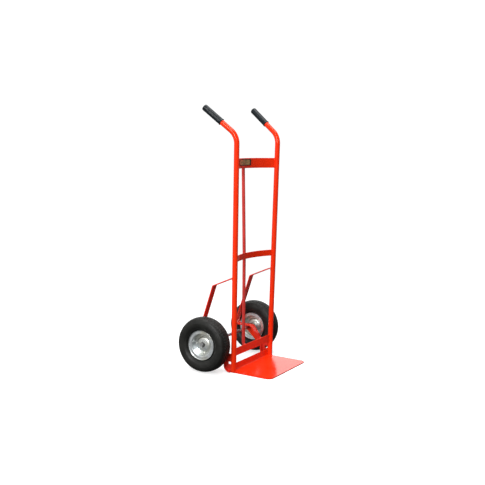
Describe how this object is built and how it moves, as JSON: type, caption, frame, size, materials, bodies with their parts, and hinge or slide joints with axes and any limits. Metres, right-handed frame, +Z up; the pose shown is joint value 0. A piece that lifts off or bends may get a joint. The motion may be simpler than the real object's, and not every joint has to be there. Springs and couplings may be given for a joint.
{
  "type": "hand truck",
  "caption": "Upright two-wheeled hand truck with bent tube handles, bowed crossbars, a flat toe plate, guard straps over the wheels and pneumatic tyres on bolted steel rims.",
  "frame": {"origin": "on the floor, midway between the feet of the two rails, on the toe plate's underside", "axes": "+X across the truck, +Y back towards the handles and wheels, +Z up"},
  "size_m": [0.558, 0.4568, 1.2354],
  "materials": {
    "red_paint": "glossy orange-red paint",
    "grip_rubber": "satin dark grey",
    "tyre_rubber": "matt black",
    "tube_rubber": "matt black",
    "rim_zinc": "bright zinc plating",
    "zinc_steel": "zinc plated",
    "bearing_steel": "ground",
    "axle_steel": "drawn bar",
    "black_plastic": "matt",
    "brass_plate": "satin with a dark border"
  },
  "bodies": {
    "frame": {"toe_plate": "red_paint", "upper_crossbar": "red_paint", "middle_crossbar": "red_paint", "lower_crossbar": "red_paint", "centre_bar": "red_paint", "nameplate": "brass_plate", "axle": "axle_steel", "left_rail": "red_paint", "left_grip": "grip_rubber", "left_guard_strap": "red_paint", "left_gusset": "red_paint", "left_axle_bracket": "red_paint", "left_axle_spacer": "zinc_steel", "left_axle_washer": "black_plastic", "left_cotter_pin": "zinc_steel", "right_rail": "red_paint", "right_grip": "grip_rubber", "right_guard_strap": "red_paint", "right_gusset": "red_paint", "right_axle_bracket": "red_paint", "right_axle_spacer": "zinc_steel", "right_axle_washer": "black_plastic", "right_cotter_pin": "zinc_steel"},
    "left_wheel": {"left_tyre": "tyre_rubber", "left_inner_tube": "tube_rubber", "left_outer_rim": "rim_zinc", "left_inner_rim": "rim_zinc", "left_rim_bolts": "zinc_steel", "left_rim_nuts": "zinc_steel", "left_hub": "rim_zinc", "left_bearing_races": "bearing_steel", "left_bearing_balls": "bearing_steel", "left_valve_stem": "tube_rubber", "left_valve_cap": "black_plastic"},
    "right_wheel": {"right_tyre": "tyre_rubber", "right_inner_tube": "tube_rubber", "right_outer_rim": "rim_zinc", "right_inner_rim": "rim_zinc", "right_rim_bolts": "zinc_steel", "right_rim_nuts": "zinc_steel", "right_hub": "rim_zinc", "right_bearing_races": "bearing_steel", "right_bearing_balls": "bearing_steel", "right_valve_stem": "tube_rubber", "right_valve_cap": "black_plastic"}
  },
  "joints": [
    {"name": "left_wheel_spin", "type": "hinge", "parent": "frame", "child": "left_wheel", "pos_m": [-0.237, 0.1268, 0.13], "axis": [1, 0, 0], "continuous": true},
    {"name": "right_wheel_spin", "type": "hinge", "parent": "frame", "child": "right_wheel", "pos_m": [0.237, 0.1268, 0.13], "axis": [1, 0, 0], "continuous": true}
  ]
}
